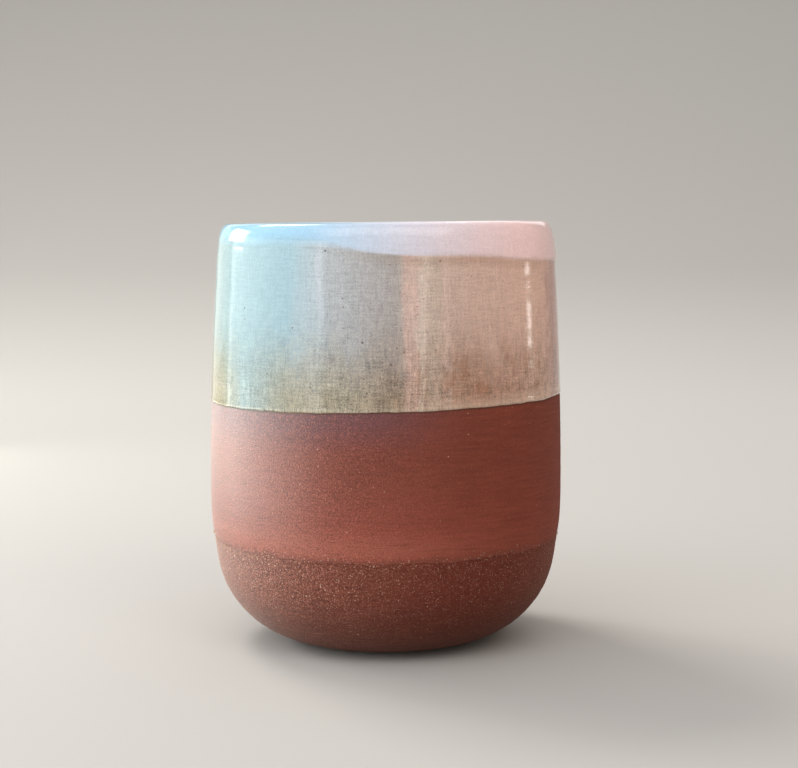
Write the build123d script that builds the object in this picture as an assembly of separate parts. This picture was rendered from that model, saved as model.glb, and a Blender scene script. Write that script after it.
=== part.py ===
from build123d import *

import os
from math import cos, radians, sin, sqrt, tan

# A handleless thrown stoneware cup: one clay body, a band of slip and three coats of glaze.
# Lengths are in millimetres and angles in degrees. +Z is up.
# The origin is on the table, under the middle of the foot.

# Clay body, outside
clay_height = 101.4  # table to the crest of the bare lip
belly_radius = 42.75  # the wall where it is widest
belly_height = 36.6  # level of the widest place
heel_radius = 23.5  # rounding between the foot and the wall
wall_flare = 10.0  # outward lean of the wall where the heel ends
shoulder_inset = 1.85  # how far the wall draws in from the belly to the shoulder
lip_depth = 11.7  # height of the rounding outside the lip
lip_roll = 2.55  # how far the lip rolls in from the shoulder to its crest

# Clay body, inside and underneath
wall_thickness = 4.3  # the same at the belly and under the lip
floor_thickness = 6.0  # table to the inside floor
inner_heel_radius = 20.0  # rounding between the inside floor and the wall
inner_lip_depth = 8.0  # height of the rounding inside the lip
foot_ring_width = 5.0  # flat ring that the cup stands on
foot_recess = 1.2  # rise of the hollow inside that ring

# Slip band, painted on the wall above the trimmed foot
slip_thickness = 0.25
trim_height = 25.2  # lower edge of the band
slip_lap = 4.0  # how far it runs up under the glaze

# Glaze: the liner and the first dip come from one bath, the second dip covers only the lip
glaze_thickness = 0.4
dip_depth = 41.9  # how deep the first dip reached, from the crest of the bare lip
dip_tilt = 1.3  # its lower edge rises towards +X
rim_thickness = 0.3
rim_dip_depth = 7.2  # how deep the second dip reached
rim_dip_tilt = -2.7  # its lower edge falls towards +X

# How far an outline runs past the tilted plane that trims it
trim_margin = 1.0

# Sizes that follow from the ones above
crest_radius = belly_radius - shoulder_inset - lip_roll
inner_lip_roll = wall_thickness - lip_roll
dip_height = clay_height - dip_depth
rim_dip_height = clay_height - rim_dip_depth
slip_top = dip_height + slip_lap


class WallSide:
    """One face of the wall: arcs in the half plane of radius and height."""

    def __init__(self, belly, floor, heel, roll, lip, crest):
        self.belly = belly
        self.floor = floor
        self.heel = heel
        self.roll = roll
        self.lip = lip
        self.crest = (crest_radius, crest)
        self.shoulder = crest - lip
        flare = radians(wall_flare)
        self.heel_top = floor + heel * (1 - sin(flare))
        self.flare_bend = (belly_height - self.heel_top) / sin(flare)
        self.flat = belly - self.flare_bend * (1 - cos(flare)) - heel * cos(flare)
        inset = belly - crest_radius - roll
        rise = self.shoulder - belly_height
        self.wall_bend = (inset**2 + rise**2) / (2 * inset)

    def point(self, height):
        """The point of this face at a height between its floor and its shoulder."""
        if height < self.heel_top:
            drop = self.heel - (height - self.floor)
            return (self.flat + sqrt(self.heel**2 - drop**2), height)
        bend = self.flare_bend if height < belly_height else self.wall_bend
        sine = (height - belly_height) / bend
        return (self.belly - bend * (1 - sqrt(1 - sine**2)), height)

    def arcs(self, low, high):
        """The arcs of this face from one height up to another."""
        stops = [low, high]
        stops += [level for level in (self.heel_top, belly_height) if low < level < high]
        stops.sort()
        return [
            ThreePointArc(self.point(start), self.point((start + end) / 2), self.point(end))
            for start, end in zip(stops, stops[1:])
        ]

    def lip_arc(self):
        """The quarter ellipse from the shoulder to the crest of the lip."""
        middle = (crest_radius, self.shoulder)
        if self.roll > 0:
            return EllipticalCenterArc(middle, self.roll, self.lip, 0, arc_size=90)
        return EllipticalCenterArc(middle, -self.roll, self.lip, 90, arc_size=90)

    def up_from(self, low):
        """The whole face from a height up to the crest."""
        return self.arcs(low, self.shoulder) + [self.lip_arc()]


def outside(coat):
    """The outer face of the clay with a coat of this thickness on it."""
    return WallSide(
        belly_radius + coat,
        -coat,
        heel_radius + coat,
        lip_roll + coat,
        lip_depth + coat,
        clay_height + coat,
    )


def inside(coat):
    """The inner face of the clay with a coat of this thickness on it."""
    return WallSide(
        belly_radius - wall_thickness - coat,
        floor_thickness + coat,
        inner_heel_radius - coat,
        -inner_lip_roll - coat,
        inner_lip_depth + coat,
        clay_height + coat,
    )


def turned(outline):
    """The solid swept by a closed outline around the cup's axis."""
    return revolve(Plane.XZ * make_face(outline), Axis.Z)


def above(coat, height, tilt):
    """What is left of a coat above a dip line that is tilted about Y."""
    slope = radians(tilt)
    bath = Plane(origin=(0, 0, height), z_dir=(-sin(slope), 0, cos(slope)))
    return split(coat, bisect_by=bath, keep=Keep.TOP)


def below_dip(height, tilt):
    """A level that lies under the whole of a tilted dip line."""
    return height - belly_radius * tan(radians(abs(tilt))) - trim_margin


clay_out = outside(0)
clay_in = inside(0)
slip_out = outside(slip_thickness)
glaze_out = outside(glaze_thickness)
glaze_in = inside(glaze_thickness)
rim_out = outside(glaze_thickness + rim_thickness)
rim_in = inside(glaze_thickness + rim_thickness)

# Clay: up the outside, over the lip, down the inside, and back under the foot
ring_inside = clay_out.flat - foot_ring_width
clay_body = turned(
    clay_out.up_from(0)
    + clay_in.up_from(floor_thickness)
    + [
        Line((clay_in.flat, floor_thickness), (0, floor_thickness)),
        Line((0, floor_thickness), (0, foot_recess)),
        TangentArc((0, foot_recess), (ring_inside, 0), tangent=(1, 0)),
        Line((ring_inside, 0), (clay_out.flat, 0)),
    ]
)

# Slip: a skin on the wall from the trim line to just above the first dip line
slip_coat = turned(
    clay_out.arcs(trim_height, slip_top)
    + slip_out.arcs(trim_height, slip_top)
    + [
        Line(clay_out.point(trim_height), slip_out.point(trim_height)),
        Line(clay_out.point(slip_top), slip_out.point(slip_top)),
    ]
)

# Liner: a skin over the whole inside, ending at the crest of the lip
liner_glaze = turned(
    clay_in.up_from(floor_thickness)
    + glaze_in.up_from(glaze_in.floor)
    + [
        Line(clay_in.crest, glaze_in.crest),
        Line((clay_in.flat, floor_thickness), (0, floor_thickness)),
        Line((0, floor_thickness), (0, glaze_in.floor)),
        Line((0, glaze_in.floor), (glaze_in.flat, glaze_in.floor)),
    ]
)

# First dip: from the crest down the outside, stepping out over the slip
dip_low = below_dip(dip_height, dip_tilt)
dipped_wall = turned(
    clay_out.up_from(slip_top)
    + slip_out.arcs(dip_low, slip_top)
    + glaze_out.up_from(dip_low)
    + [
        Line(clay_out.crest, glaze_out.crest),
        Line(clay_out.point(slip_top), slip_out.point(slip_top)),
        Line(slip_out.point(dip_low), glaze_out.point(dip_low)),
    ]
)
outer_glaze = above(dipped_wall, dip_height, dip_tilt)

# Second dip: over the lip, on top of the first dip and of the liner
rim_reach = below_dip(rim_dip_height, rim_dip_tilt)
rim_low = min(rim_reach, glaze_out.shoulder - trim_margin, glaze_in.shoulder - trim_margin)
dipped_rim = turned(
    glaze_out.up_from(rim_low)
    + glaze_in.up_from(rim_low)
    + rim_out.up_from(rim_low)
    + rim_in.up_from(rim_low)
    + [
        Line(glaze_out.point(rim_low), rim_out.point(rim_low)),
        Line(glaze_in.point(rim_low), rim_in.point(rim_low)),
    ]
)
rim_glaze = above(dipped_rim, rim_dip_height, rim_dip_tilt)

os.makedirs("parts", exist_ok=True)
export_step(clay_body, "parts/clay_body.step")
export_step(slip_coat, "parts/slip_coat.step")
export_step(liner_glaze, "parts/liner_glaze.step")
export_step(outer_glaze, "parts/outer_glaze.step")
export_step(rim_glaze, "parts/rim_glaze.step")
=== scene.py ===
# %% [markdown]
# # A thrown stoneware cup in Blender
# The packed model gives five plain solids: the clay, a band of slip and three coats of glaze.
# This lesson keeps every solid where it is and dresses it: uneven hand-made surfaces, wavy dip lines,
# pale grains in the trimmed foot, and finishes written as shader sums.

# %% Load the packed cup
from itertools import combinations
from math import atan2, cos, pi, radians, sin, sqrt, tan

import bpy
import numpy as np
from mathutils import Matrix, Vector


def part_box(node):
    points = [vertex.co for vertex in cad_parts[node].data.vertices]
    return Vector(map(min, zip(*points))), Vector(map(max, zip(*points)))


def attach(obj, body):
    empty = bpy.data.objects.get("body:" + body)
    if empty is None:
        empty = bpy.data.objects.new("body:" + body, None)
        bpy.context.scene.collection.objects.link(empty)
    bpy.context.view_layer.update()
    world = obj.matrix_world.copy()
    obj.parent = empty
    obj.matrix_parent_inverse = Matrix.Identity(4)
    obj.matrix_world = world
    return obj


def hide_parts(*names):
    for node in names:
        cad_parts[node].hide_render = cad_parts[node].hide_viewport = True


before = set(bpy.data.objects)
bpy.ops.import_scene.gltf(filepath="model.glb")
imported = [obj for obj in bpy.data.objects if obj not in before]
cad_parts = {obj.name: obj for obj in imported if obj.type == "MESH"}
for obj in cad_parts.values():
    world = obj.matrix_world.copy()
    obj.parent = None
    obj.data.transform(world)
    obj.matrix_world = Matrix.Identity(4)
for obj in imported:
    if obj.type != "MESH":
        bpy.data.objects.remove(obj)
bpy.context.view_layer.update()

# %% [markdown]
# ## The camera
# The photograph was taken close to the cup and a little above its rim, so the far rim is hidden and level
# lines bend. A camera can be matched by eye over the picture; here its place and tilt were worked out from
# those bends and are set as numbers.

# %% Camera at the photograph's angle
MM = 0.001
photo_width_px = 798
focal_px = 1781.0
sensor_mm = 36.0
camera_place_mm = (3.22, -435.9, 103.24)
camera_tilt_deg = 5.40

scene = bpy.context.scene
camera_data = bpy.data.cameras.new("photo_camera")
camera_data.sensor_width = sensor_mm
camera_data.lens = focal_px * sensor_mm / photo_width_px
camera = bpy.data.objects.new("photo_camera", camera_data)
camera.location = [v * MM for v in camera_place_mm]
camera.rotation_euler = (radians(90 - camera_tilt_deg), 0, 0)
scene.collection.objects.link(camera)
scene.camera = camera
scene.view_settings.view_transform = "Standard"
print("camera lens", round(camera_data.lens, 2), "mm")

# %% [markdown]
# ## Writing shaders as sums
# A material is a tree of nodes. Wiring dozens of Math nodes by hand hides what they compute, so a small
# class wraps a node's output and turns Python's operators into Math nodes. `1 - mask` then reads as it is.

# %% A socket that can be added and multiplied
class Value:
    """A node's output that can stand in a sum."""

    def __init__(self, nodes, socket):
        self.nodes = nodes
        self.socket = socket

    def __add__(self, other):
        return self.nodes.math("ADD", self, other)

    def __sub__(self, other):
        return self.nodes.math("SUBTRACT", self, other)

    def __rsub__(self, other):
        return self.nodes.math("SUBTRACT", other, self)

    def __mul__(self, other):
        return self.nodes.math("MULTIPLY", self, other)

    def __truediv__(self, other):
        return self.nodes.math("DIVIDE", self, other)

    def __rtruediv__(self, other):
        return self.nodes.math("DIVIDE", other, self)

    __radd__ = __add__
    __rmul__ = __mul__


print("sums of sockets ready")

# %% [markdown]
# A second class holds one tree of nodes. Its `node` method adds any node: the settings first, then the
# values or links of its sockets. The other methods are short names for nodes that come up all the time.

# %% A tree that adds nodes
class Nodes:
    """The nodes of one material or of the world, ending in its shader."""

    def __init__(self, material, shader="Principled BSDF"):
        material.use_nodes = True
        self.material = material
        self.tree = material.node_tree
        self.shader = self.tree.nodes[shader]

    def node(self, kind, settings, sockets, output=0):
        """Adds any node and gives back one of its outputs."""
        made = self.tree.nodes.new(kind)
        for key, value in settings.items():
            if key == "stops":
                self.set_stops(made.color_ramp.elements, value)
            else:
                setattr(made, key, value)
        for key, value in sockets.items():
            self.feed(made.inputs[key], value)
        return Value(self, made.outputs[output])

    def set_stops(self, elements, stops):
        while len(elements) < len(stops):
            elements.new(1.0)
        for element, (place, colour) in zip(elements, stops):
            element.position = place
            element.color = (*colour, 1)

    def feed(self, socket, value):
        if isinstance(value, Value):
            self.tree.links.new(value.socket, socket)
        elif isinstance(value, tuple) and socket.type == "RGBA":
            socket.default_value = (*value, 1)
        else:
            socket.default_value = value

    def set(self, **sockets):
        """Feeds the shader; an underscore stands for a space."""
        for key, value in sockets.items():
            self.feed(self.shader.inputs[key.replace("_", " ")], value)

    def math(self, operation, a, b):
        return self.node("ShaderNodeMath", {"operation": operation}, {0: a, 1: b})

    def mix(self, share, a, b, blend="MIX"):
        """Colour b laid over colour a by a share from 0 to 1."""
        settings = {"data_type": "RGBA", "blend_type": blend}
        return self.node("ShaderNodeMix", settings, {0: share, 6: a, 7: b}, 2)

    def layers(self, colour, *coats):
        """Colours laid over one another, each by its own share."""
        for share, tint in coats:
            colour = self.mix(share, colour, tint)
        return colour

    def ramp(self, share, stops):
        """A colour that runs through a few stops as the share goes from 0 to 1."""
        return self.node("ShaderNodeValToRGB", {"stops": stops}, {0: share})

    def band(self, value, low, high):
        """0 at low, 1 at high, and smooth between; low may be the larger."""
        settings = {"interpolation_type": "SMOOTHSTEP"}
        if low > high:
            return 1 - self.band(value, high, low)
        return self.node("ShaderNodeMapRange", settings, {0: value, 1: low, 2: high})


print("node methods", [name for name in vars(Nodes) if name[0] != "_"])

# %% [markdown]
# Patterns on the cup are measured in millimetres. Node groups could hold them, but methods of a third class
# are easier to read and to change: places, soft noise, specks, and numbers kept on the mesh.

# %% Patterns in millimetres
class Look(Nodes):
    """A tree of nodes with the patterns that the cup needs."""

    def place(self):
        """The point on the cup in millimetres."""
        point = self.node("ShaderNodeTexCoord", {}, {}, "Object")
        scale = {"operation": "SCALE"}
        return self.node("ShaderNodeVectorMath", scale, {0: point, "Scale": 1 / MM})

    def axis(self, vector, name):
        return self.node("ShaderNodeSeparateXYZ", {}, {0: vector}, name)

    def across(self, point, low, high):
        """0 at one place from left to right, 1 at the other."""
        return self.band(self.axis(point, "X"), low, high)

    def upward(self, point, low, high):
        """0 at one height, 1 at the other."""
        return self.band(self.axis(point, "Z"), low, high)

    def stretched(self, vector, around, along):
        """The point scaled so that a pattern has one size around the cup and another up it."""
        scale = {"operation": "MULTIPLY"}
        return self.node("ShaderNodeVectorMath", scale, {0: vector, 1: (around, around, along)})

    def noise(self, vector, grain, detail=2.0, roughness=0.5):
        """Soft noise whose lumps are about so many millimetres wide."""
        sockets = {"Vector": vector, "Scale": 1 / grain, "Detail": detail, "Roughness": roughness}
        return self.node("ShaderNodeTexNoise", {}, sockets, "Fac")

    def specks(self, vector, spacing, radius, kept):
        """Small round spots of half to one and a half times a radius, in a share of the cells."""
        smallest = 0.5
        soft_edge = (1.15, 0.7)
        sharp = 0.01
        sockets = {"Vector": vector, "Scale": 1 / spacing}
        far = self.node("ShaderNodeTexVoronoi", {}, sockets, "Distance")
        colour = self.node("ShaderNodeTexVoronoi", {}, sockets, "Color")
        chance = self.node("ShaderNodeSeparateColor", {}, {0: colour}, 0)
        size = self.node("ShaderNodeSeparateColor", {}, {0: colour}, 1)
        reach = (smallest + size) * (radius / spacing)
        spot = self.band(far / reach, *soft_edge)
        return spot * self.band(chance, 1 - kept, 1 - kept + sharp)

    def stored(self, name):
        """A number kept on the mesh's points."""
        return self.node("ShaderNodeAttribute", {"attribute_name": name}, {}, "Fac")

    def bump(self, height_mm):
        """The shader's normal, tipped by a height in millimetres."""
        return self.node("ShaderNodeBump", {}, {"Height": height_mm, "Distance": MM}, "Normal")


print("patterns", [name for name in vars(Look) if name[0] != "_"])

# %% [markdown]
# Colours are written as a screen shows them, which is how one judges them beside a photograph. Shaders count
# in light, so a small function converts them; two more helpers make a mesh and give it its finish.

# %% Colours, pieces and their finishes
def new_look(name):
    return Look(bpy.data.materials.new(name))


def srgb(red, green, blue):
    """A colour read off a screen, as the light values that shaders use."""
    shares = [v / 255 for v in (red, green, blue)]
    return tuple(v / 12.92 if v <= 0.04045 else ((v + 0.055) / 1.055) ** 2.4 for v in shares)


def new_piece(name, points, faces, smooth=True):
    mesh = bpy.data.meshes.new(name)
    mesh.from_pydata(points, [], faces)
    mesh.polygons.foreach_set("use_smooth", np.full(len(faces), smooth))
    piece = bpy.data.objects.new(name, mesh)
    scene.collection.objects.link(piece)
    print(name, "has", len(faces), "faces")
    return piece


def put_on(piece, look):
    piece.data.materials.append(look.material)
    print(look.material.name, "has", len(look.tree.nodes), "nodes")


print("mid grey of a screen is", round(srgb(128, 128, 128)[0], 3), "as light")

# %% [markdown]
# ## The studio
# A pale floor sweeps up into a backdrop, so there is no hard horizon. A photographer bends a roll of paper
# in the same way. A plane with a bevelled edge would do; a short list of points says exactly where it bends.

# %% Floor and backdrop
floor_near = -2.0
floor_far = 0.7
sweep_radius = 1.6
backdrop_top = 2.4
floor_half = 3.0
sweep_steps = 40
paper_colour = (0.46, 0.44, 0.41)

bends = [i / sweep_steps * pi / 2 for i in range(sweep_steps + 1)]
side_view = [(floor_near, 0.0)]
side_view += [(floor_far + sweep_radius * sin(a), sweep_radius * (1 - cos(a))) for a in bends]
side_view += [(floor_far + sweep_radius, backdrop_top)]
sweep_points = [(x, y, z) for y, z in side_view for x in (-floor_half, floor_half)]
sweep_faces = [(2 * i, 2 * i + 1, 2 * i + 3, 2 * i + 2) for i in range(len(side_view) - 1)]
studio_sweep = new_piece("studio_sweep", sweep_points, sweep_faces)
paper = new_look("studio_paper")
paper.set(Base_Color=paper_colour, Roughness=0.9)
put_on(studio_sweep, paper)

# %% [markdown]
# ## The light
# The cup is bright along its left edge and falls away to the right. Gloss mirrors the lamps, so each stands
# where its reflection belongs: low panels on the left lie in the glaze as soft upright bands, thin strips
# low over the floor lay a sheen on slip and clay, a key lamp makes the bright patch on the lip, and a small
# lamp on the right the glint there. A high lamp behind, a wide fill and a weak back light do the rest. One
# large sun would be simpler, but a smooth pot then shows a single spot and no bands.

# %% A lamp that faces the cup
lamp_aim = (0.0, 0.0, 0.05)


def soft_lamp(name, azimuth, height, distance, width, tall, brightness, colour):
    """A rectangular lamp. Azimuth 0 is behind the camera and 90 is to the cup's left."""
    light = bpy.data.lights.new(name, "AREA")
    light.shape = "RECTANGLE"
    light.size = width
    light.size_y = tall
    light.energy = brightness * pi * width * tall
    light.color = colour
    lamp = bpy.data.objects.new(name, light)
    flat = distance * cos(radians(height))
    lamp.location = (
        -flat * sin(radians(azimuth)),
        -flat * cos(radians(azimuth)),
        lamp_aim[2] + distance * sin(radians(height)),
    )
    toward = [a - b for a, b in zip(lamp_aim, lamp.location)]
    level = sqrt(toward[0] ** 2 + toward[1] ** 2)
    lamp.rotation_euler = (atan2(level, -toward[2]), 0, atan2(-toward[0], toward[1]))
    lamp.visible_camera = False
    scene.collection.objects.link(lamp)


print("lamps face", lamp_aim)

# %% Lamps
near = 0.38
panel_height = 7.9
panel_tall = 0.2
strip_height = -6.42
strip_tall = 0.012
cool_white = (0.86, 0.95, 1.0)
warm_white = (1.0, 0.97, 0.92)

# Name, azimuth and height in degrees, distance, width and tallness in metres, brightness, colour
lamps = [
    ("panel_left", 80, panel_height, near, 0.66, panel_tall, 2.2, cool_white),
    ("panel_behind_left", 134, panel_height, near, 0.25, panel_tall, 0.7, warm_white),
    ("strip_left", 80, strip_height, near, 0.66, strip_tall, 29.0, (1.0, 0.93, 0.82)),
    ("strip_behind_left", 136, strip_height, near, 0.19, strip_tall, 4.0, (1.0, 0.94, 0.82)),
    ("key_behind_left", 122, 17, 1.0, 0.36, 0.25, 13.0, warm_white),
    ("sun_behind_left", 140, 50, 1.6, 0.5, 0.5, 15.0, warm_white),
    ("fill_front", 0, 50, 1.6, 2.4, 0.8, 1.8, (1.0, 0.98, 0.96)),
    ("rim_light", 180, 28, 1.0, 1.2, 0.4, 1.0, (0.95, 0.98, 1.0)),
    ("window_right", -107, 1.65, 1.0, 0.07, 0.055, 6.0, (1.0, 0.95, 0.88)),
]
for lamp_row in lamps:
    soft_lamp(*lamp_row)
print("lamps", [row[0] for row in lamps])

# %% [markdown]
# The world fills the shadows: a cool sky on the left, a warm one on the right, a little more from above. A
# picture of a room is the usual way; two plain colours need no file and are easier to balance.

# %% Sky
sky_left = (0.66, 0.74, 0.81)
sky_right = (0.60, 0.52, 0.47)
sky_overhead = 0.15

sky = Look(bpy.data.worlds.new("studio_world"), "Background")
toward_sky = sky.node("ShaderNodeTexCoord", {}, {}, "Generated")
overhead = 1 + sky_overhead * sky.upward(toward_sky, 0.3, 1.0)
around_sky = sky.mix(sky.across(toward_sky, -0.8, 0.8), sky_left, sky_right)
sky.set(Color=sky.mix(1.0, around_sky, overhead, "MULTIPLY"), Strength=1.0)
scene.world = sky.material
print("sky of", len(sky.tree.nodes), "nodes")

# %% [markdown]
# ## The cup's outline
# A thrown pot is a line turned about an axis. The line starts under the foot, runs up the outside, over
# the lip and down to the inside floor. It could be drawn by hand as a curve; worked out from the sizes, it
# lies on the solids. Lengths that the solids show are read from their boxes, the rest repeat the part's own.

# %% Sizes of the cup
clay_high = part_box("clay_body")[1]
slip_low, slip_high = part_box("slip_coat")
liner_low, liner_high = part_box("liner_glaze")
dip_low, dip_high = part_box("outer_glaze")
rim_low, rim_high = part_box("rim_glaze")

clay_height = clay_high.z / MM
belly_radius = clay_high.x / MM
slip_thick = (slip_high.x - clay_high.x) / MM
trim_height = slip_low.z / MM
slip_top = slip_high.z / MM
glaze_thick = (dip_high.z - clay_high.z) / MM
rim_thick = (rim_high.z - dip_high.z) / MM
floor_thick = liner_low.z / MM
wall_thick = (clay_high.x - liner_high.x) / MM

belly_height = 36.6
heel_radius = 23.5
inner_heel_radius = 20.0
wall_flare = radians(10.0)
shoulder_inset = 1.85
lip_depth = 11.7
lip_roll = 2.55
inner_lip_depth = 8.0
foot_ring_width = 5.0
foot_recess = 1.2
dip_tilt = radians(1.3)
rim_tilt = radians(2.7)
crest_radius = belly_radius - shoulder_inset - lip_roll
print("clay", round(clay_height, 1), "mm tall and", round(2 * belly_radius, 1), "mm wide")

# %% The outline as one line
arc_points = 400
floor_points = 200


def wall_line(belly, floor, heel, roll, lip):
    """One face of the wall from its floor to the crest of the lip, as in the solids."""
    turn = np.linspace(0, 1, arc_points)
    heel_top = floor + heel * (1 - sin(wall_flare))
    flare_bend = (belly_height - heel_top) / sin(wall_flare)
    flat = belly - flare_bend * (1 - cos(wall_flare)) - heel * cos(wall_flare)
    around_heel = turn * (pi / 2 - wall_flare)
    heel_arc = np.c_[flat + heel * np.sin(around_heel), floor + heel * (1 - np.cos(around_heel))]
    lean = (turn - 1) * wall_flare
    flare_arc = np.c_[belly - flare_bend * (1 - np.cos(lean)), belly_height + flare_bend * np.sin(lean)]
    inset = belly - crest_radius - roll
    rise = clay_height - lip - belly_height
    bend = (inset**2 + rise**2) / (2 * inset)
    climb = turn * np.arcsin(rise / bend)
    wall_arc = np.c_[belly - bend * (1 - np.cos(climb)), belly_height + bend * np.sin(climb)]
    quarter = turn * pi / 2
    lip_arc = np.c_[crest_radius + roll * np.cos(quarter), clay_height - lip + lip * np.sin(quarter)]
    return np.vstack([heel_arc, flare_arc, wall_arc, lip_arc])


outer_line = wall_line(belly_radius, 0.0, heel_radius, lip_roll, lip_depth)
inner_line = wall_line(
    belly_radius - wall_thick, floor_thick, inner_heel_radius, lip_roll - wall_thick, inner_lip_depth
)
ring_inside = outer_line[0, 0] - foot_ring_width
floor_share = np.linspace(0, 1, floor_points)
recess_bend = (ring_inside**2 + foot_recess**2) / (2 * foot_recess)
hollow = foot_recess - recess_bend + np.sqrt(recess_bend**2 - (ring_inside * floor_share) ** 2)
outline = np.vstack([
    np.c_[ring_inside * floor_share, hollow],
    outer_line,
    inner_line[::-1],
    np.c_[inner_line[0, 0] * (1 - floor_share), np.full(floor_points, floor_thick)],
])
print("outline of", len(outline), "points")

# %% [markdown]
# The line is resampled evenly and its corners are softened by a fingertip's worth, as wet clay is. Every
# place on the cup then has two numbers: the distance along the line and the angle around the axis, with
# angle 0 towards the camera. A surface is the line plus a height measured square to it.

# %% Even steps along the line
step = 0.05
soften = 0.3
same_point = 1e-9
gaps = np.hypot(*np.diff(outline, axis=0).T)
outline = outline[np.r_[True, gaps > same_point]]
length = np.r_[0, np.cumsum(np.hypot(*np.diff(outline, axis=0).T))]
along = np.arange(0, length[-1], step)
line_r = np.interp(along, length, outline[:, 0])
line_z = np.interp(along, length, outline[:, 1])
reach = np.arange(-4 * soften, 4 * soften + step / 2, step)
weights = np.exp(-0.5 * (reach / soften) ** 2)
weights /= weights.sum()
half = len(reach) // 2
soft_r = np.convolve(np.pad(line_r, half, mode="reflect", reflect_type="odd"), weights, mode="valid")
soft_z = np.convolve(np.pad(line_z, half, mode="edge"), weights, mode="valid")
soft_r[0] = soft_r[-1] = 0.0
slope_r = np.gradient(soft_r, step)
slope_z = np.gradient(soft_z, step)
slope = np.hypot(slope_r, slope_z)
out_r = slope_z / slope
out_z = -slope_r / slope
line_end = along[-1]
crest_at = along[np.argmax(soft_z)]
print("line", round(line_end, 1), "mm long, crest of the lip at", round(crest_at, 1))

# %% Where along the line a height lies
level_ends = 20.0


def outside_at(height):
    """How far along the line the outside reaches a height; its first stretch is the level foot."""
    upward = slice(np.searchsorted(along, level_ends), np.searchsorted(along, crest_at) + 1)
    return np.interp(height, soft_z[upward], along[upward])


def inside_at(height):
    """The same for the inside, which the line follows downward to the level floor."""
    downward = slice(np.searchsorted(along, crest_at), np.searchsorted(along, line_end - level_ends))
    return np.interp(height, soft_z[downward][::-1], along[downward][::-1])


print("trim line at", outside_at(trim_height).round(1), "mm along the line")

# %% [markdown]
# ## Hand-made unevenness
# Nothing thrown by hand is a perfect turned shape. A Displace modifier with a texture could roughen it, but
# its pattern has a seam. Smooth random numbers on a grid that closes on itself around the cup have none,
# and they also make ragged edges and wandering lines. Fixed seeds keep them the same each run.

# %% Smooth noise around the cup
def ease(t):
    t = np.clip(t, 0, 1)
    return t * t * (3 - 2 * t)


def lumps(angle, distance, seed, wide, tall):
    """Noise from -1 to 1 with lumps so many millimetres wide around the belly and tall along the line."""
    columns = max(3, round(2 * pi * belly_radius / wide))
    rows = int(line_end / tall) + 3
    grid = np.random.default_rng(seed).uniform(-1, 1, (columns, rows))
    a = np.mod(angle / (2 * pi), 1) * columns
    b = distance / tall
    i = np.floor(a).astype(int)
    j = np.floor(b).astype(int)
    u = ease(a - i)
    v = ease(b - j)
    low = grid[i % columns, j] * (1 - u) + grid[(i + 1) % columns, j] * u
    high = grid[i % columns, j + 1] * (1 - u) + grid[(i + 1) % columns, j + 1] * u
    return low * (1 - v) + high * v


one_row = 50.0


def wander(angle, seed, wide):
    """The same noise along one line around the cup."""
    return lumps(angle, 0 * angle, seed, wide, one_row)


both_ends = wander(np.array([-pi, pi]), 1, one_row)
print("noise at both ends of a turn", both_ends.round(3))

# %% Lean and roundness of the whole cup
rim_drop_left = 0.6
lean_from = 55.0
out_of_round = 0.0012
widest_turn = 0.7


def settle(angle, r, z):
    """The whole cup's slight lean and roundness: the rim is lower on the left."""
    lift = ease((z - lean_from) / (clay_height - lean_from))
    drop = 0.5 * rim_drop_left * (1 - np.sin(angle))
    squeeze = 1 - out_of_round * lift * (1 + np.cos(2 * angle + widest_turn))
    return r * squeeze, z - lift * drop


print("the rim drops", rim_drop_left, "mm to the left")

# %% [markdown]
# ## Turning a surface
# A Screw modifier turns a line into a pot, but every slice is then the same. Here a piece is a closed loop
# of points carried around the axis, up its seen face and back down its hidden face, so that each point can
# have its own height and can keep numbers for the shader. As a grid, it is watertight by construction.

# %% Turned pieces
def angles(count):
    """Angles in a column; a row of distances then spreads into a grid beside them."""
    return np.arange(count)[:, None] / count * 2 * pi - pi


def surface(angle, distance, height):
    """Points on the outline at a distance along it, lifted by a height, in metres."""
    r = np.interp(distance, along, soft_r) + height * np.interp(distance, along, out_r)
    z = np.interp(distance, along, soft_z) + height * np.interp(distance, along, out_z)
    r, z = settle(angle, np.maximum(r, 0), z)
    return np.stack([r * np.sin(angle), -r * np.cos(angle), z], axis=-1) * MM


def shell(angle, *faces):
    """The points of a coat, face after face. Each face is its distances and heights."""
    return np.hstack([surface(angle, *face) for face in faces])


def turned(name, grid, closed):
    """A mesh from a grid of points, angle by angle. An open loop ends on the axis at both ends."""
    columns, rows = grid.shape[:2]
    points = grid.reshape(-1, 3)
    i = np.arange(columns)[:, None]
    j = np.arange(rows if closed else rows - 1)[None, :]
    a = i * rows + j
    b = (i + 1) % columns * rows + j
    c = (i + 1) % columns * rows + (j + 1) % rows
    d = i * rows + (j + 1) % rows
    faces = np.stack([a, b, c, d], axis=-1).reshape(-1, 4).tolist()
    if not closed:
        first = len(points)
        last = first + 1
        on_axis = grid[:, [0, -1]].mean(axis=0)
        on_axis[:, :2] = 0
        points = np.vstack([points, on_axis])
        for k in range(columns):
            after = (k + 1) % columns
            faces.append((k * rows, first, after * rows))
            faces.append((k * rows + rows - 1, after * rows + rows - 1, last))
    piece = new_piece(name, points.tolist(), faces)
    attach(piece, "root")
    return piece


def keep_on_points(piece, name, values):
    """Stores a number on each point, for the shader to read."""
    kept = piece.data.attributes.new(name, "FLOAT", "POINT")
    kept.data.foreach_set("value", values.astype(np.float32).ravel())


print("crest of the lip in metres", surface(np.zeros(1), np.array([crest_at]), 0.0).round(4))

# %% [markdown]
# ## The clay
# Below the trim line the potter cut the leather-hard clay with a loop tool while it turned, which leaves
# fine level grooves and drags coarse grains along. Higher up and inside, the fingers left a slow spiral.
# Both are real heights on the mesh and not only bump, because they show at the outline and in the gloss.

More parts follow.
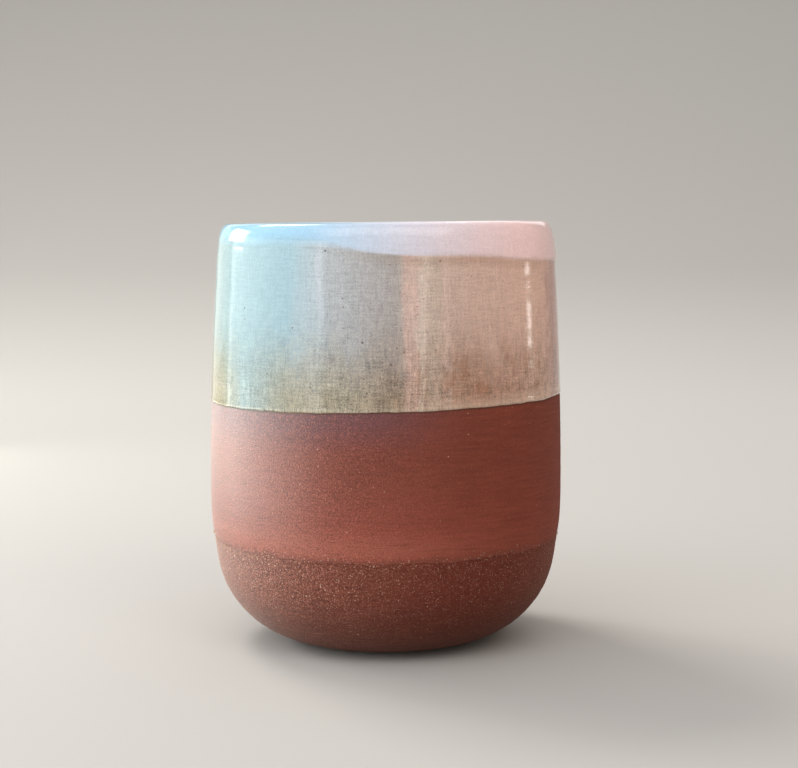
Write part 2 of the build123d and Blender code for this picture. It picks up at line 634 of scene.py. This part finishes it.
# %% Relief of the clay
skin = 0.02
groove_depth = 0.022
tear_depth = 0.02
finger_pitch = 5.2
finger_depth = 0.012
finger_depth_inside = 0.13
sag_depth = 0.015
trim_blend = 1.2
ring_outside = 19.5
ring_lead = 1.0
ring_fade = 3.0
inside_from = 4.0
inside_over = 12.0
floor_gap = 6.0
floor_over = 10.0


def finger_spiral(angle, distance):
    return np.sin(2 * pi * distance / finger_pitch + angle)


def trimmed(distance):
    """1 on the cut foot and heel, 0 above the trim line."""
    return 1 - ease((distance - outside_at(trim_height) + trim_blend / 2) / trim_blend)


def clay_relief(angle, distance):
    """Height of the clay over its outline; nothing on the ring that it stands on."""
    grooves = lumps(0 * angle, distance, 11, 90.0, 0.55) + 0.6 * lumps(angle, distance, 12, 40.0, 0.35)
    torn = lumps(angle, distance, 13, 0.9, 0.5)
    cut = groove_depth * grooves + tear_depth * torn
    inside = ease((distance - crest_at - inside_from) / inside_over)
    inside = inside * ease((line_end - floor_gap - distance) / floor_over)
    fingers = finger_spiral(angle, distance) * (finger_depth + finger_depth_inside * inside)
    thrown = fingers + sag_depth * lumps(angle, distance, 14, 25.0, 12.0)
    resting = ease(distance - ring_inside + ring_lead)
    resting = resting * (1 - ease((distance - ring_outside) / ring_fade))
    cut_share = trimmed(distance)
    return (cut_share * cut + (1 - cut_share) * thrown) * (1 - resting) - skin


print("fingers left rings", finger_pitch, "mm apart")

# %% Clay body
clay_columns = 480
seen_step = 0.4
hidden_step = 2.0
lip_step = 0.5
lip_reach = 4.0
row_gap = 1.0
under_slip = 3.0
axis_gap = 0.5

seen = np.arange(seen_step, outside_at(trim_height + under_slip), seen_step)
hidden_wall = np.arange(seen[-1] + row_gap, crest_at - lip_reach, hidden_step)
hidden_lip = np.arange(crest_at - lip_reach, crest_at + lip_reach, lip_step)
hidden_inside = np.arange(crest_at + lip_reach + row_gap, line_end - axis_gap, hidden_step)
clay_rows = np.hstack([seen, hidden_wall, hidden_lip, hidden_inside])
around_clay = angles(clay_columns)
clay_grid = shell(around_clay, (clay_rows, clay_relief(around_clay, clay_rows)))
clay = turned("thrown_clay_body", clay_grid, closed=False)
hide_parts("clay_body")

# %% [markdown]
# The cut clay is dull and brown-red. A painted picture could colour it, but noise set in millimetres keeps
# its size on any mesh. The colour breaks up in level streaks where the tool dragged, with fine pale and dark
# grains at two sizes. Its left side, where the light falls, is painted paler, which is painted light, and
# has a slight coat sheen; the grains' contrast is painted stronger there. The right side and the foot are
# painted darker, which is painted shade. The rest is dry.

# %% Finish of the trimmed clay
red_clay = srgb(112, 56, 43)
clay_light = srgb(122, 62, 48)
clay_painted_shade_right = srgb(98, 39, 25)
clay_painted_light = srgb(142, 84, 64)
painted_shade_at_foot = srgb(72, 27, 18)
drag_dark = srgb(84, 37, 26)
drag_light = srgb(138, 76, 59)
grain_light = srgb(182, 124, 104)
grain_dark = srgb(64, 27, 19)
grog_fine = srgb(220, 180, 158)
grog_coarse = srgb(226, 188, 166)
iron_spot = srgb(46, 22, 17)
dust = srgb(255, 214, 190)
# Where the painted light on the left side fades in, from the middle outward, in millimetres
lit_left_ends = (-12.0, -38.0)


def trimmed_clay():
    look = new_look("trimmed_red_stoneware")
    p = look.place()
    cloud = look.noise(p, 9.0, 3.0)
    drag = look.noise(look.stretched(p, 0.12, 1.0), 0.45, 3.0, 0.6)
    grain = look.noise(p, 0.36, 3.0, 0.6)
    upper = 0.3 + 0.7 * look.upward(p, 3.0, 21.0)
    right = look.across(p, -24.0, 24.0)
    lit_left = look.across(p, *lit_left_ends)
    # painted raking light: grain contrast is stronger on the lit left and weaker towards the foot
    lit_grain_contrast = upper * (0.95 - 0.75 * look.across(p, -34.0, 12.0))
    small = upper * look.specks(p, 0.45, 0.10, 0.5)
    large = upper * look.specks(p, 1.1, 0.15, 0.3)
    iron = look.specks(look.stretched(p, 1.1, 1.2), 1.0, 0.14, 0.35)
    colour = look.layers(
        look.mix(look.band(cloud, 0.3, 0.7), red_clay, clay_light),
        # painted shade: the right side, away from the light, is painted darker
        (right, clay_painted_shade_right),
        # painted light: the left side is painted paler where the lamps fall
        (0.7 * lit_left, clay_painted_light),
        # painted shade: the clay darkens towards the foot, where it faces down
        (1 - upper, painted_shade_at_foot),
        (0.5 * look.band(drag, 0.5, 0.75), drag_dark),
        ((0.5 - 0.3 * right) * look.band(drag, 0.5, 0.3), drag_light),
        (lit_grain_contrast * look.band(grain, 0.50, 0.66), grain_light),
        (lit_grain_contrast * look.band(grain, 0.50, 0.36), grain_dark),
        ((0.3 + 0.6 * lit_grain_contrast) * small, grog_fine),
        ((0.4 + 0.5 * lit_grain_contrast) * large, grog_coarse),
        (0.7 * iron, iron_spot),
    )
    height = (0.45 - 0.33 * right) * grain + 0.04 * drag + 0.06 * large + 0.05 * small - 0.05 * iron
    look.set(Base_Color=colour, Roughness=0.46 - 0.10 * grain + 0.48 * right, Specular_IOR_Level=0.2)
    look.set(Coat_Weight=lit_left, Coat_Roughness=0.5)
    look.set(Sheen_Weight=0.1, Sheen_Roughness=0.5, Sheen_Tint=dust)
    look.set(Normal=look.bump(height))
    return look


put_on(clay, trimmed_clay())

# %% [markdown]
# ## Grog grains
# Grog is crushed fired clay kneaded into the body. Trimming leaves the coarse grains standing out of the
# foot, thickest just under the trim line, and a few show through the slip. Geometry nodes could scatter
# them; a few lines of numpy do it too, and each grain then sits at the clay's own height.

# %% Places and sizes of the grains
grain_counts = {"foot": 1300, "line": 900, "band": 160}
towards_trim = 0.45
line_offset = -0.3
line_spread = 1.3
usual_size = -2.2
size_spread = 0.38
smallest_grain = 0.06
largest_grain = 0.28
band_share = 0.7

draw = np.random.default_rng(31)
trim_at = outside_at(trim_height)
heel_at = outside_at(1.0)
dip_at = outside_at(dip_low.z / MM)
places = np.hstack([
    heel_at + (trim_at - heel_at) * draw.uniform(0, 1, grain_counts["foot"]) ** towards_trim,
    trim_at + draw.normal(line_offset, line_spread, grain_counts["line"]),
    draw.uniform(trim_at, dip_at, grain_counts["band"]),
])
grain_angle = draw.uniform(-pi, pi, places.size)
grain_size = np.clip(draw.lognormal(usual_size, size_spread, places.size), smallest_grain, largest_grain)
grain_size[-grain_counts["band"]:] *= band_share
print(places.size, "grains of", grain_size.mean().round(2), "mm in radius on average")

# %% A twenty-sided pebble
golden = (1 + sqrt(5)) / 2
signs = [(s, t) for s in (-1, 1) for t in (-1, 1)]
pebble_points = [(0, s, t * golden) for s, t in signs]
pebble_points += [(s, t * golden, 0) for s, t in signs]
pebble_points += [(t * golden, 0, s) for s, t in signs]
pebble_points = np.array(pebble_points) / sqrt(1 + golden**2)
corners = len(pebble_points)
apart = np.linalg.norm(pebble_points[:, None] - pebble_points[None], axis=-1)
neighbours = np.isclose(apart, 2 / sqrt(1 + golden**2))
pebble_faces = []
for a, b, c in combinations(range(corners), 3):
    if neighbours[a, b] and neighbours[b, c] and neighbours[a, c]:
        normal = np.cross(pebble_points[b] - pebble_points[a], pebble_points[c] - pebble_points[a])
        outward = normal @ pebble_points[a] > 0
        pebble_faces.append((a, b, c) if outward else (a, c, b))
print("a pebble has", len(pebble_faces), "faces")

# %% Grains as one mesh
sunk_share = 0.35
corner_range = (0.7, 1.15)
side_range = (0.7, 1.2)

coat_under = np.where(places > trim_at, slip_thick, 0)
grain_lift = coat_under + clay_relief(grain_angle, places) - sunk_share * grain_size
seats = surface(grain_angle, places, grain_lift)
jitter = draw.uniform(*corner_range, (places.size, corners, 1))
shape = draw.uniform(*side_range, (places.size, 1, 3))
spins = np.linalg.qr(draw.normal(size=(places.size, 3, 3)))[0]
spins[np.linalg.det(spins) < 0, :, 0] *= -1
pebbles = np.einsum("nij,nkj->nki", spins, pebble_points[None] * jitter * shape)
grain_points = seats[:, None] + pebbles * grain_size[:, None, None] * MM
widest = (belly_radius + slip_thick - skin) * MM
reached = np.hypot(grain_points[..., 0], grain_points[..., 1])
grain_points[..., :2] *= np.minimum(1, widest / reached)[..., None]
first_corner = np.arange(places.size)[:, None, None] * corners
grain_faces = (first_corner + np.array(pebble_faces)[None]).reshape(-1, 3)
grain_points = grain_points.reshape(-1, 3).tolist()
grains = new_piece("grog_grains", grain_points, grain_faces.tolist(), smooth=False)
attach(grains, "root")

# %% [markdown]
# Grains differ from one to the next. A random colour for each would need separate objects, so noise about
# as wide as the gap between them does it. They are painted paler on the lit left, which is painted light,
# and darker and redder on the right, which is painted shade.

# %% Finish of the grains
grog_brown = srgb(124, 76, 60)
grog_pale = srgb(214, 172, 148)
grog_stain = srgb(120, 66, 50)
grog_painted_shade_right = srgb(116, 64, 49)
grog_painted_light = srgb(220, 180, 156)


def grog():
    look = new_look("pale_grog")
    p = look.place()
    colour = look.layers(
        look.mix(look.noise(p, 1.4, 1.0), grog_brown, grog_pale),
        (0.35 * look.noise(p, 0.2, 2.0), grog_stain),
        # painted shade: grains darker and redder on the right; painted light: paler on the left
        (0.6 * look.across(p, -15.0, 25.0), grog_painted_shade_right),
        (0.8 * look.across(p, *lit_left_ends), grog_painted_light),
    )
    look.set(Base_Color=colour, Roughness=0.6 + 0.2 * look.noise(p, 0.3))
    return look


put_on(grains, grog())

# %% [markdown]
# ## Where the coats end
# Each coat stops at a line around the cup. A dip stops where the bath's surface stood, which is a tilted
# plane, and then runs a little. The slip stops where the loop tool cut it away, in a frayed line. The lines
# could be painted masks; as heights they also shape the meshes, so their edges catch the light.

# %% Lines around the cup
def dip_line(angle):
    """Height of the first dip's lower edge: a tilted bath level, slightly ragged, with small ticks."""
    slant = tan(dip_tilt) * belly_radius
    level = dip_low.z / MM + slant
    ragged = 0.10 * wander(angle, 41, 9.0) + 0.07 * wander(angle, 42, 2.2)
    ticks = 0.16 * np.maximum(0, wander(angle, 43, 0.9) - 0.55)
    return level + slant * np.sin(angle) + ragged - ticks


# Angle, rise and width of the swells in the second dip's edge, in radians and millimetres
rim_swells = ((-0.38, 1.2, 0.30), (0.55, 0.5, 0.28), (2.3, 0.8, 0.4), (-2.2, -0.6, 0.5))


def rim_line(angle):
    """Height of the second dip's lower edge outside the lip."""
    slant = tan(rim_tilt) * (belly_radius - shoulder_inset)
    level = rim_low.z / MM + slant
    height = level - slant * np.sin(angle)
    for place, rise, wide in rim_swells:
        away = np.mod(angle - place + pi, 2 * pi) - pi
        height = height + rise * np.exp(-((away / wide) ** 2))
    return height + 0.12 * wander(angle, 81, 7.0)


def trim_line(angle):
    """Height of the slip's frayed lower edge."""
    frayed = 0.25 * wander(angle, 44, 6.0) + 0.22 * wander(angle, 45, 0.9)
    return trim_height + 0.15 + frayed


def coat_rows(start, end, count, crowd=0.0):
    """Distances from one edge to the other, crowded towards the first."""
    t = np.linspace(0, 1, count)
    t = (1 - crowd) * t + crowd * t**2
    return start + (end - start) * t


coat_columns = 720
around = angles(coat_columns)
print("first dip ends from", dip_line(around).min().round(1), "to", dip_line(around).max().round(1), "mm up")

# %% [markdown]
# ## The slip band
# Slip is fine liquid clay brushed on while the pot still turned. It dries to a satin skin, feathers out
# at its frayed lower edge and carries a faint ridge there. Its upper edge hides under the glaze. It could be
# a colour on the clay, but the part has it as a solid, and its edge is a real step.

# %% Slip coat
edge_share = 0.10
feather_reach = 4.5
ridge_height = 0.012
ridge_at = 3.0
ridge_wide = 1.2
slip_sink = 0.05

slip_start = outside_at(trim_line(around))
slip_end = outside_at(slip_top)
front = coat_rows(slip_start, slip_end, count=92, crowd=0.55)
back = coat_rows(slip_end, slip_start, count=14)
above_edge = front - slip_start
feather = edge_share + (1 - edge_share) * ease(above_edge / feather_reach)
ridge = ridge_height * np.exp(-(((above_edge - ridge_at) / ridge_wide) ** 2))
brushed = 0.008 * lumps(0 * around, front, 51, 90.0, 0.7)
brushed += 0.006 * lumps(around, front, 52, 30.0, 0.9)
fingers = finger_depth * finger_spiral(around, front)
slip_height = slip_thick * feather - skin + ridge + brushed + fingers
slip_height = np.minimum(slip_height, slip_thick - skin)
slip_under = clay_relief(around, back) - slip_sink
slip_grid = shell(around, (front, slip_height), (back, slip_under))
slip = turned("satin_slip_band", slip_grid, closed=True)
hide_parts("slip_coat")
slip_rows = np.hstack([front, back])
keep_on_points(slip, "below_glaze", outside_at(dip_line(around)) - slip_rows)
keep_on_points(slip, "above_trim", slip_rows - slip_start)

# %% [markdown]
# The slip is a deep brick red with a satin sheen on the left side, where the light washes it out to peach;
# there its colour is also painted lighter, which is painted light. A fine grain breaks the sheen into tiny
# sparkles, and the grain's contrast is painted stronger on the lit left. Under the glaze edge on the left a
# mauve-blue tint is a painted reflection of the cool sky, and the slip is a little glossier there. A thin
# dark line of iron lies under the glaze edge. The slip grows warmer downward, is paler just above the trim
# line, partly its own colour and partly painted light on the left, and is torn into crumbs at the trim line.
# Painted marks would miss the wavy lines, so the distances from both edges come from the mesh.

# %% Finish of the slip
brick = srgb(115, 50, 33)
brick_light = srgb(121, 53, 36)
brick_warm = srgb(146, 66, 48)
brick_painted_light = srgb(142, 70, 50)
painted_sky_reflection = srgb(86, 65, 78)
paler_band_and_lit_left = srgb(174, 98, 78)
slip_light = srgb(176, 104, 84)
slip_dark = srgb(84, 35, 26)
brush_dark = srgb(98, 41, 29)
brush_light = srgb(146, 72, 53)
pale_speck = srgb(206, 160, 134)
iron_line = srgb(70, 38, 26)
torn_edge = srgb(118, 60, 46)
crumb = srgb(206, 148, 122)


def satin_slip():
    look = new_look("satin_brick_slip")
    p = look.place()
    cloud = look.noise(p, 14.0, 3.0)
    grain = look.noise(p, 0.27, 3.0, 0.6)
    level = look.noise(look.stretched(p, 0.06, 1.0), 0.5, 3.0, 0.6)
    right = look.across(p, -10.0, 35.0)
    left = look.across(p, -4.0, -36.0)
    below_glaze = look.stored("below_glaze")
    above_trim = look.stored("above_trim")
    warm = look.upward(p, trim_height + 24.0, trim_height + 1.0)
    # painted reflection: a mauve-blue tint under the glaze edge on the left stands for the cool sky's sheen;
    # the slip is also a little glossier there
    sky_sheen_halo = look.band(below_glaze, 11.0, 0.5) * look.across(p, 22.0, -12.0)
    lighter = look.band(above_trim, 0.3, 2.0) * look.band(above_trim, 9.0, 3.0)
    # painted raking light: grain contrast is stronger on the lit left
    lit_grain_contrast = 0.95 - 0.75 * look.across(p, -30.0, 20.0)
    pale = look.specks(p, 2.1, 0.14, 0.22)
    iron = look.band(below_glaze, 0.38, 0.10)
    torn = above_trim + 7.0 * (grain - 0.5) + 1.6 * (look.noise(p, 1.5, 2.0) - 0.5)
    crumbs = look.band(above_trim, 3.4, 0.6) * look.specks(p, 0.55, 0.13, 0.5)
    colour = look.layers(
        look.mix(look.band(cloud, 0.3, 0.7), brick, brick_light),
        ((0.9 - 0.6 * right) * warm, brick_warm),
        # painted light: the slip's left side is painted lighter where the light falls
        (0.6 * left, brick_painted_light),
        (0.75 * sky_sheen_halo, painted_sky_reflection),
        # paler band just above the trim line: partly the slip's own colour, partly painted light on the left
        ((0.5 - 0.45 * right + 0.35 * left) * lighter, paler_band_and_lit_left),
        (lit_grain_contrast * look.band(grain, 0.50, 0.64), slip_light),
        (lit_grain_contrast * look.band(grain, 0.50, 0.36), slip_dark),
        (0.4 * look.band(level, 0.5, 0.7), brush_dark),
        (0.3 * look.band(level, 0.5, 0.3), brush_light),
        (0.6 * pale, pale_speck),
        (0.7 * iron, iron_line),
        (0.8 * look.band(torn, 1.1, 0.5), torn_edge),
        ((0.85 - 0.5 * right) * crumbs, crumb),
    )
    height = (0.28 - 0.18 * right) * grain + 0.04 * level + 0.03 * pale + 0.06 * crumbs
    rough = 0.36 + 0.14 * grain - 0.08 * sky_sheen_halo + 0.45 * right
    look.set(Base_Color=colour, Roughness=rough, Specular_IOR_Level=0.35)
    look.set(Coat_Weight=left, Coat_Roughness=0.4)
    look.set(Normal=look.bump(height))
    return look


put_on(slip, satin_slip())

# %% [markdown]
# ## The first dip
# The cup was dipped upside down in a milky glaze. The glaze is thinner near its edge and draws up into a
# pale rolled bead along the edge itself, which a plain offset of the wall would not have. So the height is
# a sum: a coat that thickens upward, the bead, and a round front that meets the slip.

# %% Height of the first dip
thin_share = 0.86
thickens_over = 26.0
bead_height = 0.10
bead_at = 0.55
bead_wide = 0.42
front_round = 0.35
lap_on_slip = slip_thick - 0.04


def glaze_height(above_edge):
    """Height of the first dip above the bare clay, from its lower edge upward."""
    thicker = ease(above_edge / thickens_over)
    full = thin_share * glaze_thick + (1 - thin_share) * glaze_thick * thicker
    bead = bead_height * np.exp(-(((above_edge - bead_at) / bead_wide) ** 2))
    rounded = np.sqrt(np.clip(1 - (1 - np.clip(above_edge / front_round, 0, 1)) ** 2, 0, 1))
    return lap_on_slip + (full + bead - lap_on_slip) * rounded - skin


def throwing(angle, distance):
    """Faint finger marks that show through the glaze."""
    return (
        finger_depth * finger_spiral(angle, distance)
        + 0.008 * lumps(angle, distance, 61, 30.0, 1.3)
        + 0.012 * lumps(angle, distance, 62, 16.0, 9.0)
    )


print("glaze at its bead", glaze_height(np.array([bead_at])).round(2), "mm thick")

# %% Outer glaze
seat_on_slip = slip_thick - 0.07
seat_on_clay = -0.06
marks_fade_in = 3.0

dip_start = outside_at(dip_line(around))
front = coat_rows(dip_start, crest_at, count=116, crowd=0.5)
back = coat_rows(crest_at, dip_start, count=16)
above_edge = front - dip_start
marks = throwing(around, front) * ease(above_edge / marks_fade_in)
seat_back = np.where(back < outside_at(slip_top), seat_on_slip, seat_on_clay)
dip_height = glaze_height(above_edge) + marks
dip_grid = shell(around, (front, dip_height), (back, seat_back))
outer_glaze = turned("first_dip_glaze", dip_grid, closed=True)
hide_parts("outer_glaze")
dip_rows = np.hstack([front, back])
keep_on_points(outer_glaze, "above_edge", dip_rows - dip_start)
keep_on_points(outer_glaze, "below_rim", outside_at(rim_line(around)) - dip_rows)

# %% [markdown]
# ## The milky glaze
# Milky glaze scatters light: icy blue where it is thick, dusty pink where the clay warms it, and ochre
# where it is thin and breaks over the red. The blue on the left is partly the glaze's own colour and partly
# a painted reflection of the cool sky. Real subsurface scattering is slow and hard to aim, so three short
# ramps from the cup's left to its right give the colours, and noise chooses between them.

# %% Colours of the glaze
# On the left, the blue of these ramps is partly the glaze's own and partly a painted reflection of a cool
# sky.
single_coat = [
    (0.0, srgb(146, 170, 169)),
    (0.24, srgb(140, 168, 177)),
    (0.36, srgb(172, 175, 178)),
    (0.53, srgb(168, 159, 155)),
    (0.60, srgb(214, 192, 178)),
    (0.68, srgb(202, 173, 159)),
    (0.90, srgb(222, 182, 164)),
]
double_coat = [
    (0.0, srgb(134, 180, 196)),
    (0.30, srgb(160, 196, 220)),
    (0.55, srgb(212, 210, 222)),
    (0.85, srgb(246, 212, 210)),
]
ochre_breaks = [
    (0.0, srgb(136, 124, 76)),
    (0.25, srgb(146, 132, 98)),
    (0.38, srgb(156, 144, 119)),
    (0.50, srgb(146, 126, 102)),
    (0.75, srgb(158, 112, 86)),
    (0.95, srgb(190, 154, 134)),
]
# Painted reflection streaks: place from left to right, half width, strength, lowest height in millimetres,
# colour
reflection_streaks = [
    (0.33, 0.012, 0.35, 80.0, srgb(194, 194, 202)),
    (0.568, 0.026, 0.5, 40.0, srgb(212, 174, 160)),
    (0.594, 0.012, 0.5, 40.0, srgb(212, 194, 178)),
    (0.632, 0.034, 0.5, 40.0, srgb(184, 166, 150)),
    (0.670, 0.010, 0.4, 40.0, srgb(214, 186, 172)),
    (0.895, 0.018, 0.25, 40.0, srgb(214, 182, 160)),
    (0.965, 0.024, 0.6, 40.0, srgb(172, 128, 122)),
]
pepper_brown = srgb(110, 80, 64)
iron_brown = srgb(78, 52, 44)
rust_brown = srgb(150, 102, 70)
pale_foot = srgb(214, 184, 164)
bead_cream = srgb(196, 182, 160)
edge_iron = srgb(98, 62, 42)
print("glaze colours from", len(single_coat) + len(double_coat) + len(ochre_breaks), "stops")

# %% [markdown]
# Down the wall upright streaks lie in the gloss: pale and dark bands that are painted reflections of the
# surroundings. They could be painted in a picture; a list of places is easier to move. Each streak is a
# narrow band across the cup that wanders a little and breaks up on its way.

# %% Painted reflections down the glaze
def with_reflection_streaks(look, p, side, colour):
    broken = 0.3 + 1.4 * look.noise(look.stretched(p, 1.0, 0.3), 1.6, 3.0, 0.6)
    wandering = side + 0.02 * (look.noise(look.stretched(p, 0.5, 1.0), 3.0, 3.0) - 0.5)
    for place, width, strength, lowest, tint in reflection_streaks:
        away = (wandering - place) / width
        reach = look.upward(p, lowest - 6.0, lowest + 6.0)
        streak = strength * reach * broken * look.band(away * away, 1.0, 0.0)
        colour = look.mix(streak, colour, tint)
    return colour


print(len(reflection_streaks), "runs of glaze")

# %% [markdown]
# Along its lower edge the first dip has rust patches and a pale foot on the right, a cream bead, and an
# uneven dark line of iron from the slip. Just under the second dip's step it is painted a little darker and
# browner, which is painted shade. A painted mask would have to trace the edges; the distance stored on the
# mesh follows them by itself.

# %% Marks along the edges of the first dip
def with_edge_marks(look, p, side, colour, ochre, threads):
    edge = look.stored("above_edge")
    under_rim = look.stored("below_rim")
    warm = look.band(side, 0.5, 0.7)
    blots = look.noise(look.stretched(p, 1.0, 0.6), 3.4, 3.0, 0.6)
    near_edge = look.band(edge, 1.5, 4.5) * look.band(edge, 17.0, 8.0)
    rust = warm * look.band(blots, 0.50, 0.66) * near_edge
    bead = look.band(edge, 0.10, 0.30) * look.band(edge, 1.4, 0.5)
    line = look.band(edge / (0.05 + 0.35 * look.noise(p, 1.2, 3.0)), 1.0, 0.2)
    under_rim_shade = look.band(under_rim, -0.8, 0.2) * look.band(under_rim, 2.4, 0.4)
    return look.layers(
        colour,
        (0.5 * rust, rust_brown),
        (0.35 * warm * look.band(edge, 4.0, 1.0), pale_foot),
        (0.4 * bead * look.band(threads, 0.4, 0.6), bead_cream),
        (0.8 * line, edge_iron),
        # painted shade: a darker, browner band just under the second dip's step
        (0.3 * under_rim_shade * look.band(side, 0.3, 0.6), ochre),
    )


print("edge marks ready for", outer_glaze.name)

# %% [markdown]
# The whole glaze puts these together. Fine threads like linen lie where the streaks of the dip cross the
# throwing lines. They darken and lighten the colour, most of all low down, where the thin glaze also breaks
# to ochre in patches. Pepper and iron specks are sparse. A low roughness and a faint bump give the gloss.
# One painted picture could hold it all, but threads this fine would need a huge one.

# %% Finish of the milky glaze
def milky_glaze(name, second_coat=0.0, coat_edge=None, edge_marks=False):
    """A second coat lies all over by a share, or from a stored edge inward."""
    look = new_look(name)
    p = look.place()
    drift = look.noise(look.stretched(p, 1.0, 0.25), 7.0, 3.0)
    side = look.axis(p, "X") / (2 * belly_radius) + 0.5 + 0.06 * (drift - 0.5)
    single = look.ramp(side, single_coat)
    ochre = look.ramp(side, ochre_breaks)
    weave = look.noise(p, 0.30, 2.0, 0.6)
    threads = look.noise(look.stretched(p, 1.0, 0.12), 0.42, 2.0)
    weft = look.noise(look.stretched(p, 0.12, 1.0), 0.42, 2.0)
    linen = 0.5 * weave + 0.25 * threads + 0.25 * weft - 0.5
    low = look.upward(p, 86.0, 58.0)
    patch = look.noise(look.stretched(p, 1.0, 0.5), 4.5, 4.0, 0.62)
    thick_left = look.band(side, 0.03, 0.12) * look.band(side, 0.27, 0.11)
    thin = low * look.band(patch + 0.55 * low + 2.0 * linen, 0.42, 0.85) * (1 - 0.7 * thick_left)
    colour = look.mix(0.9 * thin, single, ochre)
    # painted reflections of the surroundings, as upright streaks
    colour = with_reflection_streaks(look, p, side, colour)
    middle = look.band(side, 0.2, 0.45) * (1 - 0.5 * look.band(side, 0.55, 0.8))
    contrast = 1.05 + 0.7 * middle + 2.2 * low
    shade = 0.92 + 0.08 * look.upward(p, 66.0, 96.0)
    blotch = look.noise(look.stretched(p, 1.0, 0.45), 1.9, 3.0, 0.6) - 0.5
    blotchy = 0.12 + 0.5 * low + 0.5 * low * side
    pepper = look.specks(p, 1.5, 0.15, 0.4)
    iron = look.specks(p, 3.2, 0.20, 0.6)
    colour = look.layers(
        look.mix(1.0, colour, shade + contrast * linen + blotchy * blotch, "MULTIPLY"),
        (0.6 * pepper * (0.2 + middle), pepper_brown),
        (0.7 * iron, iron_brown),
    )
    if coat_edge:
        fade = 1.2 + 3.0 * look.band(side, 0.5, 0.2)
        second_coat = look.band(look.stored(coat_edge) / fade, 0.05, 1.0)
    if second_coat:
        double = look.ramp(side, double_coat)
        thick = look.mix(1.0, double, 1 + 0.7 * linen, "MULTIPLY")
        colour = look.mix(0.94 * second_coat, colour, thick)
    if edge_marks:
        colour = with_edge_marks(look, p, side, colour, ochre, threads)
    height = 0.007 * weave + 0.004 * threads + 0.007 * weft - 0.02 * iron
    look.set(Base_Color=colour, Roughness=0.06 + 0.05 * weave, IOR=1.52)
    look.set(Normal=look.bump(height))
    return look


put_on(outer_glaze, milky_glaze("milky_dip_glaze", edge_marks=True))

# %% [markdown]
# ## The liner
# The inside was glazed by pouring: a coat over the whole inside that gathers a little in the bottom and
# softens the finger rings. It meets the first dip at the crest of the lip. A Solidify modifier could thicken
# the inside wall, but it cannot pool.

# %% Liner glaze
liner_columns = 400
liner_lip = 6.0
pool_depth = 0.35
pool_from = 34.0
pool_over = 20.0
ring_share = 0.8
liner_inset = 0.03
liner_sink = 0.06
liner_sag = 0.01
liner_step = 0.75
under_step = 3.0
liner_end = line_end - 0.4

lip_end = crest_at + liner_lip
liner_rows = np.hstack([
    np.arange(crest_at, lip_end, lip_step),
    np.arange(lip_end, liner_end, liner_step),
])
hidden_rows = np.hstack([
    np.arange(liner_end, lip_end, -under_step),
    np.arange(lip_end, crest_at, -row_gap),
])
around_liner = angles(liner_columns)
pool = pool_depth * ease((liner_rows - (line_end - pool_from)) / pool_over)
liner_rings = clay_relief(around_liner, liner_rows) * ring_share
liner_height = glaze_thick - liner_inset + liner_rings + pool
liner_height = liner_height + liner_sag * lumps(around_liner, liner_rows, 71, 14.0, 8.0)
liner_under = clay_relief(around_liner, hidden_rows) - liner_sink
liner_grid = shell(around_liner, (hidden_rows, liner_under), (liner_rows, liner_height))
liner = turned("poured_liner_glaze", liner_grid, closed=False)
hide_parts("liner_glaze")
put_on(liner, milky_glaze("milky_liner_glaze", second_coat=0.35))

# %% [markdown]
# ## The second dip
# The lip was dipped again. Where two coats lie over each other the glaze is paler and more opaque, and its
# lower edge is a soft step that slants down to the right. Colour alone could show it, but the step catches
# the light, so it is a coat of its own: one loop from its outer edge over the crest to its inner edge, with
# small ripples that break up the highlight.

# %% Rim glaze
inner_edge_rise = 0.5
ripple = 0.02
widest_roll = 2.2
tighter_right = 1.2
fullness_left = 0.55
fuller_right = 0.45
blunt_edge = 0.12
step_height = 0.09
marks_share = 0.7
rim_seat = glaze_thick - 0.16
rim_foot = glaze_thick - 0.10
rim_top = glaze_thick + rim_thick - 0.01

rim_start = outside_at(rim_line(around))
rim_end = inside_at(rim_line(around) + inner_edge_rise)
front = np.hstack([
    coat_rows(rim_start, crest_at, count=34, crowd=0.35),
    coat_rows(rim_end, crest_at, count=26, crowd=0.35)[:, -2::-1],
])
back = coat_rows(rim_end, rim_start, count=30)
from_edge = np.minimum(front - rim_start, rim_end - front)
to_right = np.sin(around)
rolled = widest_roll - tighter_right * ease(to_right)
fullness = fullness_left + fuller_right * ease(to_right * 1.3 - 0.2)
swell = ease(blunt_edge + (1 - blunt_edge) * from_edge / rolled)
rim_height = rim_foot + (rim_thick * fullness + step_height) * swell
rim_height = rim_height + throwing(around, front) * marks_share
rim_height = rim_height + ripple * swell * lumps(around, front, 82, 4.5, 2.2)
rim_height = np.minimum(rim_height, rim_top)
rim_under = np.full(back.shape, rim_seat)
rim_grid = shell(around, (front, rim_height), (back, rim_under))
rim = turned("second_dip_rim_glaze", rim_grid, closed=True)
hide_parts("rim_glaze")
keep_on_points(rim, "rim_edge", np.hstack([from_edge, 0 * back]))
put_on(rim, milky_glaze("pale_rim_glaze", coat_edge="rim_edge"))
